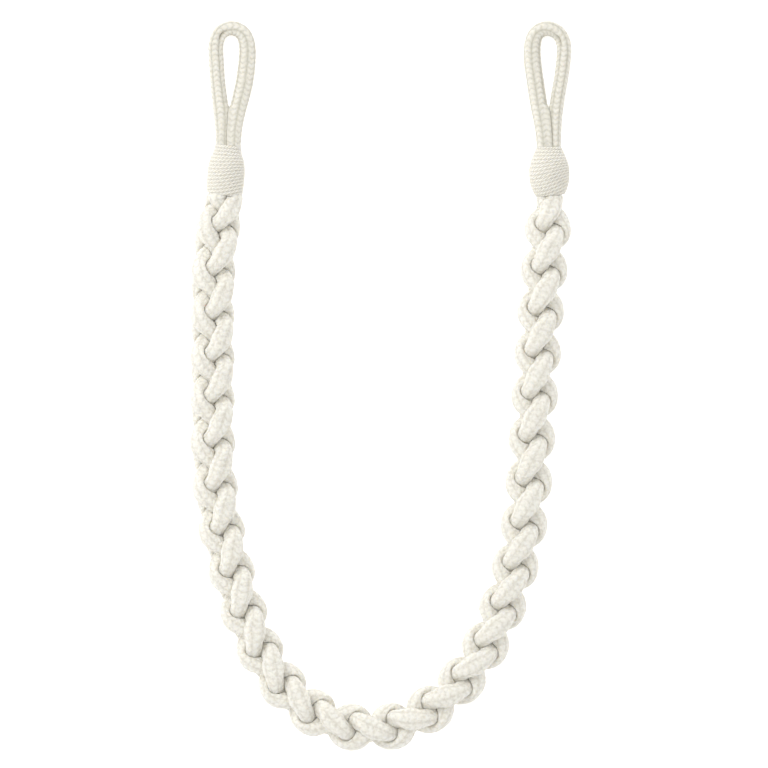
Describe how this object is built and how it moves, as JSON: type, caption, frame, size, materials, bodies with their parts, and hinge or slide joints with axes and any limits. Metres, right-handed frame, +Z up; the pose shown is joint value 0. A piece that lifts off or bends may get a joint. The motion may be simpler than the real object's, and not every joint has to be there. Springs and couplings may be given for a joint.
{
  "type": "rope curtain tieback",
  "caption": "Braided cotton rope curtain tieback lying in a U, with a twine-bound cord loop at each end.",
  "frame": {"origin": "on the surface it lies on, at the centre of its outline seen from above", "axes": "+Z up from the surface, +Y from the bottom of the U towards the two loops, +X across the U"},
  "size_m": [0.1904, 0.3644, 0.023],
  "materials": {
    "cotton_cord": "soft matt knitted cotton sleeve in undyed off-white, with small stitches in lengthwise rows",
    "cotton_twine": "matt twisted cotton twine in undyed off-white, wound in close turns"
  },
  "bodies": {
    "root": {"strand_a": "cotton_cord", "strand_b": "cotton_cord", "strand_c": "cotton_cord", "strand_d": "cotton_cord", "loop_left": "cotton_cord", "loop_right": "cotton_cord", "binding_left": "cotton_twine", "binding_right": "cotton_twine"}
  },
  "joints": []
}
